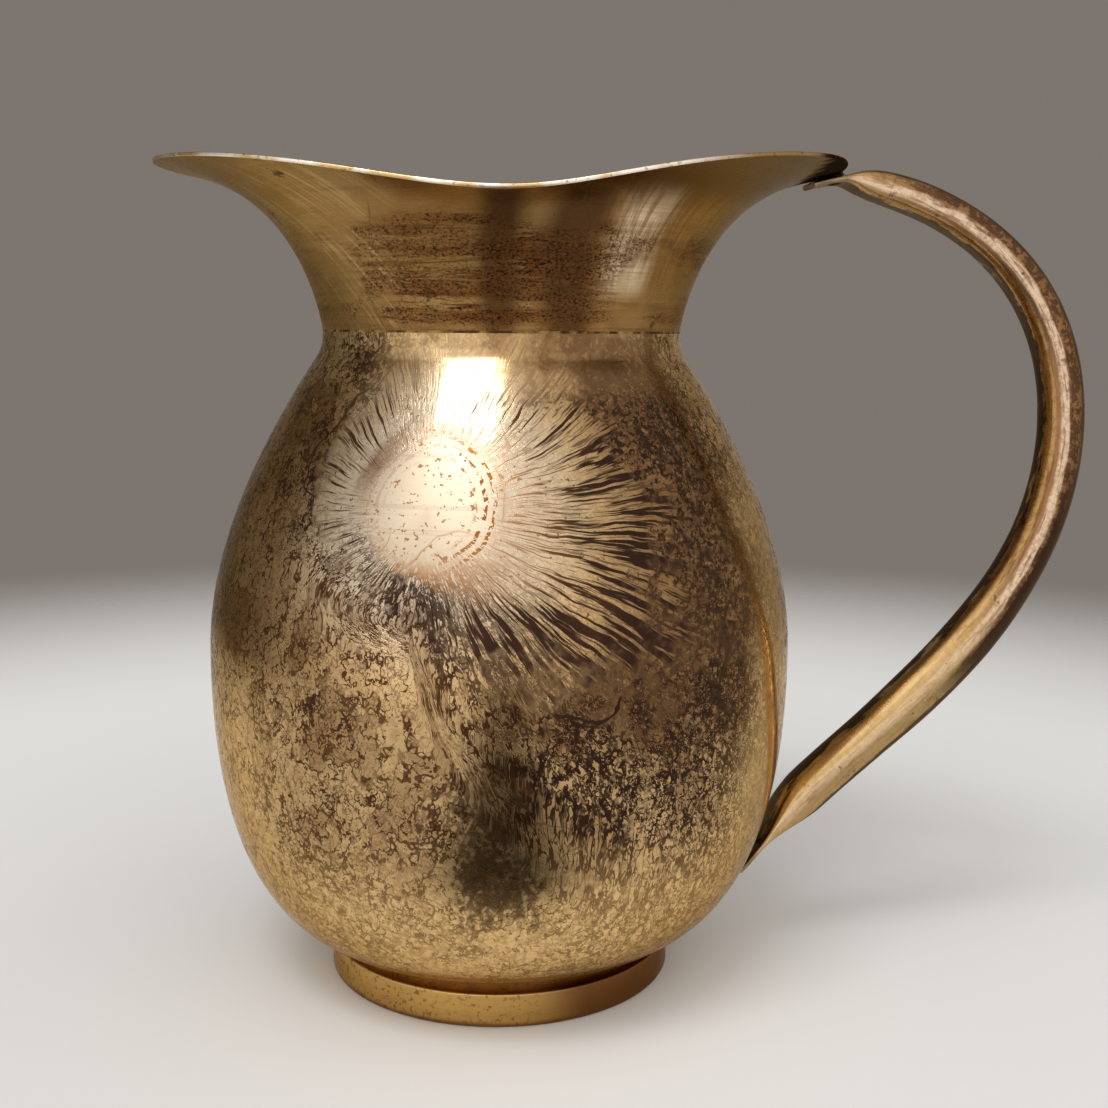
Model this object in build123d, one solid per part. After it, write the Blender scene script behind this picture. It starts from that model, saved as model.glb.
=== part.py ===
from build123d import *
import math
import os

# Water jug of spun sheet brass, in millimetres.
# Origin: centre of the foot ring's resting face. +Z up, +X towards the handle, pouring tip on -X.

# ---- driving dimensions: spun body and neck ----
SHEET = 1.0               # wall of the body and of the neck
BOTTOM_Z = 12.0           # underside of the body's flat bottom
BOTTOM_R = 43.6           # radius of that flat bottom
BELLY_R = 78.9            # largest radius of the body
BELLY_Z = 90.0            # height of the largest radius
SHOULDER_R = 50.2         # top end of the shoulder, where it turns into the collar
SHOULDER_Z = 168.4
NECK_R = 48.4             # outer radius of the collar, the narrowest place
SEAM_Z = 175.2            # top edge of the collar
SEAM_GAP = 0.6            # height of the brazed seam
BLANK_R = 97.0            # edge of the spun neck before its lip is cut
BLANK_Z = 219.9

# ---- driving dimensions: cut lip, seen from above ----
SPOUT_TIP = 92.5          # from the axis to the pouring tip
HANDLE_TIP = 91.3         # from the axis to the lip above the handle's tongue
LIP_SIDE = 65.8           # from the axis to the lip's two low places

# ---- driving dimensions: foot ring ----
FOOT_R = 46.9             # outside of the upright band
FOOT_TOP_R = 43.4         # outside of the ring where it meets the body
FOOT_WALL = 1.2
BAND_Z = 8.9              # top of the upright band
BAND_EDGE = 0.5           # rounding of that top edge
REST_INNER_R = 43.7       # inside of the turned-in bottom edge

# ---- driving dimensions: handle tube ----
TUBE_WALL = 0.8
FLAT = 2 * TUBE_WALL      # both walls pressed together at the pinched ends

# ---- driving dimensions: joint metal ----
NECK_BEAD = 0.6           # how far the seam's braze stands proud inside
FOOT_FILLET = 1.6         # leg of the solder fillet inside the foot ring
LIP_BRAZE_X = 89.9        # middle of the lump at the lip
LIP_BRAZE_Z = 217.9
LIP_BRAZE_SIZE = (4.0, 6.5, 2.5)
BRAZE_HALF_W = 7.5        # half the width of the fill behind the tab
BRAZE_GAP = 0.02          # between that fill and the body


def beside(control, wall):
    """Control points of a curve that runs one wall thickness to the left of another curve."""
    corners = [Vector(*point) for point in control]
    legs = [(b - a).normalized() for a, b in zip(corners, corners[1:])]
    left = [Vector(-leg.Y, leg.X) for leg in legs]
    moved = [corners[0] + left[0] * wall]
    for corner, before, after in zip(corners[1:-1], left, left[1:]):
        moved.append(corner + (before + after) * (wall / (1 + before.dot(after))))
    moved.append(corners[-1] + left[-1] * wall)
    return moved


def turned(face):
    """A solid of revolution about Z from a face drawn with X as radius and Y as height."""
    return revolve(Plane.XZ * face, Axis.Z, 360)


def body_line(depth):
    """The body from the flat bottom's edge up to the collar's top edge, at a depth under its outside."""
    bowl = Bezier(*beside(((BOTTOM_R, BOTTOM_Z), (46.8, BOTTOM_Z), (BELLY_R, 13.9), (BELLY_R, BELLY_Z)), depth))
    shoulder_points = ((BELLY_R, BELLY_Z), (BELLY_R, 100.1), (78.3, 125.5), (SHOULDER_R, SHOULDER_Z))
    shoulder = Bezier(*beside(shoulder_points, depth))
    lean = math.atan2(78.3 - SHOULDER_R, SHOULDER_Z - 125.5)
    collar_z = SHOULDER_Z + (SHOULDER_R - NECK_R) / math.tan(lean / 2)
    turn = TangentArc(shoulder @ 1, (NECK_R - depth, collar_z), tangent=shoulder % 1)
    collar = Line(turn @ 1, (NECK_R - depth, SEAM_Z))
    return [bowl, shoulder, turn, collar]


def body_envelope():
    """The body's outside grown by a hair, with nothing taken out, for fitting braze against it."""
    outside = body_line(-BRAZE_GAP)
    edge = outside[0] @ 0
    close = Polyline(outside[-1] @ 1, (0, SEAM_Z), (0, edge.Y), edge)
    return turned(make_face([*outside, *close.edges()]))


def body_shell():
    outside = body_line(0)
    inside = body_line(SHEET)
    top = Line(outside[-1] @ 1, inside[-1] @ 1)
    bottom = Polyline(inside[0] @ 0, (0, BOTTOM_Z + SHEET), (0, BOTTOM_Z), outside[0] @ 0)
    return turned(make_face([*outside, top, *inside, *bottom.edges()]))


def flare_line(depth):
    """The neck from the seam out to the edge of the uncut blank, at a depth under its outside."""
    start_z = SEAM_Z + SEAM_GAP
    points = ((NECK_R, start_z), (NECK_R, 178.4), (55.7, 215.0), (75.9, 215.0), (BLANK_R, BLANK_Z))
    return Bezier(*beside(points, depth))


def flare_blank():
    outside = flare_line(0)
    inside = flare_line(SHEET)
    seam_end = Line(outside @ 0, inside @ 0)
    edge = Line(outside @ 1, inside @ 1)
    return turned(make_face([outside, edge, inside, seam_end]))


def lip_plan():
    """Plan view of the cut lip: pointed over the spout, fuller on the handle side."""
    spout = Bezier((-SPOUT_TIP, 0), (-SPOUT_TIP, 18), (-79, LIP_SIDE), (0, LIP_SIDE))
    back = Bezier((0, LIP_SIDE), (34, LIP_SIDE), (HANDLE_TIP, 68), (HANDLE_TIP, 0))
    half = [spout, back]
    return make_face([*half, *[mirror(edge, about=Plane.XZ) for edge in half]])


def neck_flare():
    cutter = extrude(Pos(0, 0, SEAM_Z) * lip_plan(), BLANK_Z + 5 - SEAM_Z)
    return flare_blank() & cutter


def neck_braze():
    """Seam between collar and neck, flush outside and a low bead inside."""
    inner_r = NECK_R - SHEET
    outline = Polyline(
        (inner_r, SEAM_Z - NECK_BEAD),
        (inner_r, SEAM_Z),
        (NECK_R, SEAM_Z),
        (NECK_R, SEAM_Z + SEAM_GAP),
        (inner_r, SEAM_Z + SEAM_GAP),
        (inner_r, SEAM_Z + SEAM_GAP + NECK_BEAD),
    )
    bead = ThreePointArc(outline @ 1, (inner_r - NECK_BEAD, SEAM_Z + SEAM_GAP / 2), outline @ 0)
    return turned(make_face([*outline.edges(), bead]))


def foot_ring():
    """Sheet ring: flat top edge on the body, cove, upright band, turned-in resting edge."""
    cove_r = FOOT_R - BAND_EDGE - FOOT_TOP_R
    cove_z = BAND_Z + cove_r
    chord = cove_r * math.sqrt(0.5)
    band_inner = FOOT_R - FOOT_WALL
    top_inner = FOOT_TOP_R - FOOT_WALL
    outside = [
        Line((FOOT_TOP_R, BOTTOM_Z), (FOOT_TOP_R, cove_z)),
        ThreePointArc(
            (FOOT_TOP_R, cove_z),
            (FOOT_R - BAND_EDGE - chord, cove_z - chord),
            (FOOT_R - BAND_EDGE, BAND_Z),
        ),
        RadiusArc((FOOT_R - BAND_EDGE, BAND_Z), (FOOT_R, BAND_Z - BAND_EDGE), BAND_EDGE),
        Line((FOOT_R, BAND_Z - BAND_EDGE), (FOOT_R, FOOT_WALL)),
        RadiusArc((FOOT_R, FOOT_WALL), (band_inner, 0), FOOT_WALL),
    ]
    inside = Polyline(
        (band_inner, 0),
        (REST_INNER_R, 0),
        (REST_INNER_R, FOOT_WALL),
        (band_inner, FOOT_WALL),
        (band_inner, BAND_Z - FOOT_WALL),
        (top_inner + cove_r / 2, BAND_Z),
        (top_inner, BAND_Z + cove_r / 2),
        (top_inner, BOTTOM_Z),
        (FOOT_TOP_R, BOTTOM_Z),
    )
    return turned(make_face([*outside, *inside.edges()]))


def foot_solder():
    """Hollow fillet in the corner between the ring's inside and the body's bottom."""
    corner_r = FOOT_TOP_R - FOOT_WALL
    legs = Polyline((corner_r - FOOT_FILLET, BOTTOM_Z), (corner_r, BOTTOM_Z), (corner_r, BOTTOM_Z - FOOT_FILLET))
    hollow = RadiusArc(legs @ 1, legs @ 0, FOOT_FILLET)
    return turned(make_face([*legs.edges(), hollow]))


# Handle sections: distance along the centreline, thickness in the handle's plane, width across it.
HANDLE_SECTIONS = (
    (0.0, FLAT, 15.0),
    (4.0, FLAT, 17.5),
    (8.5, 1.8, 18.0),
    (11.0, 3.2, 17.6),
    (14.2, 5.8, 16.8),
    (20.0, 8.2, 15.6),
    (30.0, 9.3, 14.9),
    (47.0, 9.8, 14.5),
    (65.0, 10.6, 14.0),
    (88.0, 11.7, 13.2),
    (112.0, 12.5, 12.9),
    (135.0, 12.8, 12.8),
    (155.0, 13.2, 12.8),
    (180.0, 14.2, 12.8),
    (198.0, 14.1, 12.9),
    (216.0, 13.1, 13.1),
    (230.0, 12.6, 13.4),
    (240.0, 12.0, 14.0),
    (246.0, 9.2, 15.4),
    (251.0, 5.8, 16.8),
    (255.5, 3.1, 17.6),
    (260.0, 1.7, 18.0),
    (264.5, FLAT, 18.0),
    (269.1, FLAT, 16.0),
)
HOLLOW_SECTIONS = HANDLE_SECTIONS[3:-3]


def handle_centreline():
    """From the tongue under the lip, round the grip, down to the tab on the body."""
    tongue = Bezier((83.5, 0, 215.4), (91.0, 0, 217.5), (94.0, 0, 217.3), (97.5, 0, 216.6))
    upper = Bezier(tongue @ 1, (126.8, 0, 211.3), (156.0, 0, 191.5), (156.0, 0, 151.0))
    lower = Bezier(upper @ 1, (156.0, 0, 100.2), (110.0, 0, 69.3), (85.9, 0, 45.9))
    tab = Bezier(lower @ 1, (80.3, 0, 40.5), (73.8, 0, 35.0), (67.0, 0, 25.4))
    return Wire([tongue, upper, lower, tab])


def tube_section(centreline, distance, thickness, width, points=16):
    """Closed section across the tube: round where it is as thick as wide, flat-sided where pinched."""
    u = min(distance / centreline.length, 1.0)
    along = centreline.tangent_at(u)
    flatness = 2.0 + 3.0 * max(0.0, 1.0 - thickness / width)
    outline = []
    for i in range(points):
        angle = 2 * math.pi * (i + 0.5) / points
        across = math.copysign(abs(math.cos(angle)) ** (2 / flatness), math.cos(angle))
        up = math.copysign(abs(math.sin(angle)) ** (2 / flatness), math.sin(angle))
        outline.append((across * width / 2, up * thickness / 2))
    plane = Plane(origin=centreline.position_at(u), x_dir=(0, 1, 0), z_dir=along)
    return plane * make_face(Spline(*outline, periodic=True))


def tube_solid(sections, shrink=0.0):
    """Loft through the sections, each smaller all round by shrink."""
    centreline = handle_centreline()
    faces = [tube_section(centreline, s, t - 2 * shrink, w - 2 * shrink) for s, t, w in sections]
    return loft(faces)


def handle_tube():
    return tube_solid(HANDLE_SECTIONS) - tube_solid(HOLLOW_SECTIONS, TUBE_WALL)


def handle_lip_braze():
    """Lump of braze round the lip's edge above the tongue."""
    lump = Pos(LIP_BRAZE_X, 0, LIP_BRAZE_Z) * scale(Sphere(1), by=LIP_BRAZE_SIZE)
    fused = lump - neck_flare() - tube_solid(HANDLE_SECTIONS)
    return fused.solids().sort_by(SortBy.VOLUME)[-1]


def handle_body_braze():
    """Braze that fills the crevice between the tab and the body."""
    region = make_face(Polyline((60, 25.8), (67.6, 25.8), (72.6, 33.0), (69.0, 34.4), (60, 34.4), close=True))
    block = extrude(Plane.XZ * region, BRAZE_HALF_W, both=True)
    fill = block - body_envelope() - tube_solid(HANDLE_SECTIONS)
    return fill.solids().sort_by(SortBy.VOLUME)[-1]


def main():
    os.makedirs("parts", exist_ok=True)
    for make in (
        body_shell,
        neck_flare,
        neck_braze,
        foot_ring,
        foot_solder,
        handle_tube,
        handle_lip_braze,
        handle_body_braze,
    ):
        export_step(make(), f"parts/{make.__name__}.step")


main()
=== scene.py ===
import math
import bmesh
import bpy
import numpy as np
from mathutils import Matrix, Vector, noise

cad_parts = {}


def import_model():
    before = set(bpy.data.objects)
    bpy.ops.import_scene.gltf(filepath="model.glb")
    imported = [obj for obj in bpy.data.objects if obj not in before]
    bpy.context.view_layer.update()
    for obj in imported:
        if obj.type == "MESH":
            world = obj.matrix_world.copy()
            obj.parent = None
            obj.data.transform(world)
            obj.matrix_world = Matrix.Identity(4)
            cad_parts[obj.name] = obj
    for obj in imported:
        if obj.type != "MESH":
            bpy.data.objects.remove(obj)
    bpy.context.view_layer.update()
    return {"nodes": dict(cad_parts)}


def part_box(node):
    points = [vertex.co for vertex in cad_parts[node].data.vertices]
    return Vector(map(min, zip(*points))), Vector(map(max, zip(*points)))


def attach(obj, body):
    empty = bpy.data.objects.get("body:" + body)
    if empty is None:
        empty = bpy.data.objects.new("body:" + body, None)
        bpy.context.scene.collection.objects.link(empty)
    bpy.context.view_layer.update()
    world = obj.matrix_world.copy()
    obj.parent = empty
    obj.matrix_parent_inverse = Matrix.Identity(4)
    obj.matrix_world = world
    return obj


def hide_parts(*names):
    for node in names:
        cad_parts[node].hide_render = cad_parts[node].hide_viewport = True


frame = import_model()

# Aged brass water jug. Metres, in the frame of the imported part: +Z up, handle on +X, pouring tip on -X.
# Heights and radii that the frame gives are read from it. The rest are the curves' own control points.

MM = 0.001
SHEET = 1.0 * MM
ROUND_SEGMENTS = 288

body_low, body_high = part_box("body_shell")
flare_low, flare_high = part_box("neck_flare")
foot_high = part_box("foot_ring")[1]
seam_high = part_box("neck_braze")[1]

BOTTOM_Z = body_low.z
SEAM_Z = body_high.z
BELLY_R = body_high.x
NECK_R = seam_high.x
FOOT_R = foot_high.x
FLARE_Z = SEAM_Z + 0.6 * MM
BELLY_Z = 90 * MM


# ---- curves ----

def bezier(points, count):
    """Points along a Bezier curve of any degree, given its control points."""
    points = np.array(points, float)
    degree = len(points) - 1
    t = np.linspace(0, 1, count)[:, None]
    terms = [math.comb(degree, i) * (1 - t) ** (degree - i) * t ** i * points[i] for i in range(degree + 1)]
    return np.sum(terms, axis=0)


def arc(centre, radius, start, end, count):
    """Points on a circular arc, angles in degrees."""
    a = np.radians(np.linspace(start, end, count))
    return np.stack([centre[0] + radius * np.cos(a), centre[1] + radius * np.sin(a)], axis=1)


def beside(points, distance):
    """The line one distance to the left of a line of points."""
    along = np.gradient(points, axis=0)
    along /= np.linalg.norm(along, axis=1)[:, None]
    return points + distance * np.stack([-along[:, 1], along[:, 0]], axis=1)


def without_repeats(points, least=1e-6):
    """A line of points with the ones that lie on their neighbour taken out."""
    keep = [0]
    for i in range(1, len(points)):
        if np.linalg.norm(points[i] - points[keep[-1]]) > least:
            keep.append(i)
    return points[keep]


# ---- meshes ----

def mesh_object(name, vertices, faces, sharp_degrees=40):
    """A mesh in the scene, shaded smooth except over edges sharper than an angle."""
    mesh = bpy.data.meshes.new(name)
    mesh.from_pydata([tuple(v) for v in vertices], [], faces)
    mesh.validate()
    mesh.update()
    for polygon in mesh.polygons:
        polygon.use_smooth = True
    mesh.set_sharp_from_angle(angle=math.radians(sharp_degrees))
    made = bpy.data.objects.new(name, mesh)
    bpy.context.scene.collection.objects.link(made)
    return made


def grid_faces(rows, columns, close_rows=True, close_columns=True):
    """Quads between the points of a rows by columns grid that may close on itself either way."""
    faces = []
    for i in range(rows if close_rows else rows - 1):
        for j in range(columns if close_columns else columns - 1):
            a = i * columns + j
            b = i * columns + (j + 1) % columns
            c = ((i + 1) % rows) * columns + (j + 1) % columns
            d = ((i + 1) % rows) * columns + j
            faces.append((a, b, c, d))
    return faces


def lathe(name, profile, segments):
    """A closed profile of (radius, height) points turned about Z."""
    angles = np.linspace(0, 2 * math.pi, segments, endpoint=False)
    vertices = [(r * math.cos(a), r * math.sin(a), z) for a in angles for r, z in profile]
    return mesh_object(name, vertices, grid_faces(segments, len(profile)))


def finished(made, node, slot, *materials):
    """Gives a piece its place in the frame: its body, the CAD node it stands for, and materials. The slot is
    not used.
    """
    for material in materials:
        made.data.materials.append(material)
    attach(made, "root")
    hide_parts(node)
    return made


# ---- node trees ----

class Shading:
    """Short ways to wire one material."""

    def __init__(self, name):
        self.material = bpy.data.materials.new(name)
        self.material.use_nodes = True
        self.tree = self.material.node_tree
        self.tree.nodes.clear()
        self.place = self.add("ShaderNodeTexCoord").outputs["Object"]

    def add(self, kind, **settings):
        node = self.tree.nodes.new(kind)
        for key, value in settings.items():
            setattr(node, key, value)
        return node

    def feed(self, socket, value):
        if isinstance(value, bpy.types.NodeSocket):
            self.tree.links.new(value, socket)
        else:
            socket.default_value = value

    def calc(self, operation, *values, clamp=False):
        node = self.add("ShaderNodeMath", operation=operation, use_clamp=clamp)
        for socket, value in zip(node.inputs, values):
            self.feed(socket, value)
        return node.outputs[0]

    def plus(self, *values):
        total = values[0]
        for value in values[1:]:
            total = self.calc("ADD", total, value)
        return total

    def times(self, *values):
        total = values[0]
        for value in values[1:]:
            total = self.calc("MULTIPLY", total, value)
        return total

    def negative(self, value):
        return self.times(value, -1.0)

    def most(self, a, b):
        return self.calc("MAXIMUM", a, b)

    def inverse(self, value):
        return self.calc("SUBTRACT", 1.0, value)

    def step(self, value, low, high, start=0.0, end=1.0):
        """A smooth step from start to end as value goes from low to high."""
        node = self.add("ShaderNodeMapRange", interpolation_type="SMOOTHSTEP")
        for socket, given in zip(node.inputs, (value, low, high, start, end)):
            self.feed(socket, given)
        return node.outputs[0]

    def band(self, value, rise_from, rise_to, fall_from, fall_to):
        """1 between two smooth edges, one where it rises from 0 and one where it falls back."""
        rises = self.step(value, rise_from, rise_to)
        return self.times(rises, self.inverse(self.step(value, fall_from, fall_to)))

    def sector(self, around, *edges):
        """A band of directions round the jug, its edges in degrees."""
        return self.band(around, *(math.radians(edge) for edge in edges))

    def share(self, value, least, gain):
        """least plus gain times a value, for how strongly something shows. A gain below 0 lowers it."""
        return self.plus(least, self.times(value, gain))

    def vector(self, x, y, z):
        node = self.add("ShaderNodeCombineXYZ")
        for socket, value in zip(node.inputs, (x, y, z)):
            self.feed(socket, value)
        return node.outputs[0]

    def parts(self, vector):
        node = self.add("ShaderNodeSeparateXYZ")
        self.feed(node.inputs[0], vector)
        return node.outputs

    def noise(self, vector, scale, detail=2.0, rough=0.5, distortion=0.0):
        node = self.add("ShaderNodeTexNoise")
        names = ("Vector", "Scale", "Detail", "Roughness", "Distortion")
        for key, value in zip(names, (vector, scale, detail, rough, distortion)):
            self.feed(node.inputs[key], value)
        return node.outputs[0]

    def shift(self, vector, amount, scale):
        """The place moved about by noise, for shapes with uneven outlines."""
        node = self.add("ShaderNodeTexNoise")
        for key, value in (("Vector", vector), ("Scale", scale), ("Detail", 1.0)):
            self.feed(node.inputs[key], value)
        middle = self.add("ShaderNodeVectorMath", operation="SUBTRACT")
        self.feed(middle.inputs[0], node.outputs[1])
        middle.inputs[1].default_value = (0.5, 0.5, 0.5)
        scaled = self.add("ShaderNodeVectorMath", operation="SCALE")
        self.feed(scaled.inputs[0], middle.outputs[0])
        scaled.inputs["Scale"].default_value = amount
        moved = self.add("ShaderNodeVectorMath", operation="ADD")
        self.feed(moved.inputs[0], vector)
        self.feed(moved.inputs[1], scaled.outputs[0])
        return moved.outputs[0]

    def scaled(self, vector, x, y, z):
        node = self.add("ShaderNodeVectorMath", operation="MULTIPLY")
        self.feed(node.inputs[0], vector)
        node.inputs[1].default_value = (x, y, z)
        return node.outputs[0]

    def blend(self, amount, a, b):
        node = self.add("ShaderNodeMix", data_type="RGBA")
        self.feed(node.inputs["Factor"], amount)
        for socket, value in ((node.inputs[6], a), (node.inputs[7], b)):
            self.feed(socket, value if isinstance(value, bpy.types.NodeSocket) else (*value, 1.0))
        return node.outputs[2]

    def line(self, value, level, width):
        """1 on the contour of a field at that level, 0 away from it."""
        off = self.calc("ABSOLUTE", self.calc("SUBTRACT", value, level))
        return self.inverse(self.step(off, self.times(width, 0.5), width))

    def bump(self, height, distance):
        node = self.add("ShaderNodeBump")
        node.inputs["Strength"].default_value = 1.0
        node.inputs["Distance"].default_value = distance
        self.feed(node.inputs["Height"], height)
        return node.outputs[0]

    def finish(self, color, metallic, roughness, normal, coat=0.0, coat_roughness=0.1, anisotropic=0.0):
        shader = self.add("ShaderNodeBsdfPrincipled")
        self.feed(shader.inputs["Base Color"], color)
        self.feed(shader.inputs["Metallic"], metallic)
        self.feed(shader.inputs["Roughness"], roughness)
        self.feed(shader.inputs["Coat Weight"], coat)
        shader.inputs["Coat Roughness"].default_value = coat_roughness
        shader.inputs["Specular Tint"].default_value = (0.78, 0.62, 0.42, 1)
        if anisotropic:
            shader.inputs["Anisotropic"].default_value = anisotropic
            around = self.add("ShaderNodeTangent", direction_type="RADIAL", axis="Z")
            self.feed(shader.inputs["Tangent"], around.outputs[0])
        self.feed(shader.inputs["Normal"], normal)
        output = self.add("ShaderNodeOutputMaterial")
        self.tree.links.new(shader.outputs[0], output.inputs[0])
        return self.material


# Colours of the brass, linear
PALE_GOLD = (0.64, 0.43, 0.205)
GOLD = (0.56, 0.35, 0.135)
DEEP_GOLD = (0.40, 0.235, 0.075)
COPPERY = (0.37, 0.215, 0.115)
SILVERED = (0.66, 0.56, 0.43)
BROWN = (0.17, 0.066, 0.016)
UMBER = (0.030, 0.011, 0.005)
# Black of burnt braze at the handle's joints, also standing for painted shadow there
SOOT_AND_SHADOW = (0.006, 0.004, 0.003)
TAN = (0.30, 0.165, 0.050)

METALLIC = 0.96
# Length of the handle's centreline in millimetres, rounded, for marks that run along the tube.
TUBE_LENGTH = 269.0

# Where the burst of streaks sits on the front of the shoulder, and the clean disc in its middle
BURST_AROUND = math.radians(-14.5)
BURST_Z = 135.5 * MM
BURST_SURFACE_R = 72 * MM
DISC_R = 15 * MM


def body_brass():
    """Lacquered brass with worm-like patina, a burst of streaks at the front of the shoulder, and painted
    shade and light.
    """
    s = Shading("body_brass")
    x, y, z = s.parts(s.place)
    uneven = s.shift(s.shift(s.place, 5 * MM, 32.0), 1.0 * MM, 190.0)
    ux, uy, uz = s.parts(uneven)
    around = s.calc("ARCTAN2", ux, s.times(uy, -1.0))
    across = s.times(s.plus(around, -BURST_AROUND), BURST_SURFACE_R)
    above = s.times(s.plus(uz, -BURST_Z), 1.08)
    reach = s.calc("SQRT", s.plus(s.times(across, across), s.times(above, above), 1e-8))
    right = s.calc("DIVIDE", across, reach)
    up = s.calc("DIVIDE", above, reach)

    def towards(degrees, power=2.0):
        """1 in one direction from the burst's middle, falling to 0 at right angles to it."""
        turn = math.radians(degrees)
        facing = s.plus(s.times(right, math.cos(turn)), s.times(up, math.sin(turn)))
        return s.calc("POWER", s.most(facing, 0.0), power)

    # streaks: noise that is fine around the burst's middle and long along its rays
    cloud = s.noise(s.place, 26.0, 2.0, 0.5)
    patch = s.noise(s.place, 95.0, 3.0, 0.6)
    rim = s.share(towards(-38), 38 * MM, 25 * MM)
    rim = s.plus(rim, s.times(towards(8), 20 * MM), s.times(towards(-112), -26 * MM))
    rim = s.most(rim, DISC_R + 7 * MM)
    far = s.calc("DIVIDE", s.plus(reach, -DISC_R), s.plus(rim, -DISC_R))
    tatter = s.noise(s.place, 240.0, 3.0, 0.6)
    frayed = s.plus(far, s.times(s.plus(patch, s.times(cloud, 0.7), s.times(tatter, 0.8), -1.25), 1.3))
    wide_rays = s.vector(s.times(right, 32.0), s.times(up, 32.0), s.times(reach, 42.0))
    fine_rays = s.vector(s.times(right, 70.0), s.times(up, 70.0), s.times(reach, 105.0))
    ray = s.noise(wide_rays, 1.0, 3.0, 0.6, 0.25)
    fine_ray = s.noise(fine_rays, 1.0, 3.0, 0.6, 0.2)
    quiet = s.plus(s.times(towards(180), 0.045), s.times(towards(90, 4.0), 0.03))
    bold = s.plus(0.60, s.times(s.step(far, 0.0, 0.7), -0.115), s.times(towards(-42, 3.0), -0.045), quiet)
    in_burst = s.times(s.step(far, -0.05, 0.15), s.inverse(s.step(frayed, 0.60, 1.35)))
    thin = s.times(s.step(fine_ray, s.plus(0.52, quiet), s.plus(0.585, quiet)), 0.75)
    mixed_ray = s.plus(s.times(ray, 0.75), s.times(fine_ray, 0.25))
    streak = s.times(s.most(s.step(mixed_ray, bold, s.plus(bold, 0.05)), thin), in_burst)

    # worm-like marks: contours of noise, thicker and more broken where the patina is dense
    low = s.inverse(s.step(z, 36 * MM, 62 * MM))
    side = s.calc("ABSOLUTE", around)
    # Clean: the lower belly and lower sides, with less patina; their base is also painted lighter, as painted
    # light.
    clean = s.times(s.step(side, math.radians(38), math.radians(54)), s.inverse(s.step(z, 62 * MM, 92 * MM)))
    clean = s.most(low, clean)
    front = s.calc("COSINE", s.plus(around, math.radians(-8)))
    middle = s.times(s.step(z, 42 * MM, 70 * MM), s.inverse(s.step(far, 1.0, 3.4)), s.step(front, 0.2, 0.8))
    # The handle side of the belly, where the worm marks are denser and darker and the band of painted shade
    # lies.
    handle_side = s.sector(around, 8, 24, 46, 58)
    # Below the burst: its worm marks are drawn longer, and it adds painted shade to the tarnish there.
    below = s.times(towards(-90, 3.0), s.inverse(s.step(far, 2.0, 3.5)))
    dense = s.plus(s.times(cloud, 0.5), s.times(patch, 0.7), s.times(middle, 0.20))
    dense = s.plus(dense, s.times(handle_side, 0.12), s.times(below, 0.12), -0.70)
    dense = s.calc("ADD", dense, 0.5, clamp=True)
    drawn = s.vector(x, y, s.times(z, s.plus(0.8, s.times(below, -0.35))))
    worm = s.noise(s.shift(drawn, 1.2 * MM, 300.0), 300.0, 3.0, 0.55)
    hair = s.noise(s.shift(drawn, 0.7 * MM, 600.0), 720.0, 2.0, 0.5, 0.4)
    broken = s.plus(0.45, s.times(s.step(s.noise(s.place, 260.0, 1.0), 0.40, 0.50), 0.55))
    coarse = s.times(s.line(worm, 0.5, s.step(dense, 0.1, 0.95, 0.014, 0.072)), broken)
    fine = s.line(hair, 0.5, s.step(dense, 0.2, 0.9, 0.015, 0.075))
    fine = s.times(fine, s.step(dense, 0.15, 0.60, 0.25, 0.95))
    stipple = s.times(s.step(hair, 0.56, 0.62), s.step(dense, 0.52, 0.72))
    worms = s.most(coarse, s.most(fine, stipple))
    outside = s.step(frayed, 0.62, 1.22)
    clear_disc = s.step(s.plus(reach, s.times(patch, -5 * MM)), DISC_R - 7 * MM, DISC_R + 2 * MM)
    kept = s.most(s.most(outside, s.times(clear_disc, 0.22)), s.times(towards(-100, 1.0), clear_disc))
    worms = s.times(worms, kept)

    # stained islands with darker shores
    island = s.noise(s.shift(drawn, 4 * MM, 70.0), 62.0, 4.0, 0.62)
    stain = s.times(s.step(island, 0.50, 0.58), outside, s.inverse(s.times(low, 0.6)))
    shore = s.times(s.line(island, 0.54, 0.016), outside, broken)

    # black speckle where the streaks end on the handle side
    fringe = s.times(s.band(frayed, 0.62, 0.85, 1.15, 1.5), towards(5, 1.0))
    pepper = s.times(s.step(s.noise(s.place, 620.0, 3.0, 0.7), 0.47, 0.55), fringe)

    # dotted rings round the clean disc, and small specks everywhere
    ring = s.calc("SINE", s.times(reach, 2 * math.pi / (2.3 * MM)))
    near_disc = s.band(reach, DISC_R - 4 * MM, DISC_R - 1 * MM, DISC_R + 2 * MM, DISC_R + 5 * MM)
    dots = s.times(s.step(ring, 0.0, 0.6), near_disc, s.step(hair, 0.46, 0.52), s.plus(0.35, towards(5, 1.0)))
    off_crescent = s.calc("ABSOLUTE", s.plus(reach, -20 * MM))
    crescent = s.times(s.inverse(s.step(off_crescent, 1 * MM, 4.5 * MM)), towards(148, 8.0))
    in_disc = s.inverse(s.step(reach, DISC_R - 3 * MM, DISC_R + 6 * MM))
    speck = s.step(s.plus(s.noise(s.place, 760.0, 2.0, 0.6), s.times(in_disc, 0.035)), 0.655, 0.685)

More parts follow.
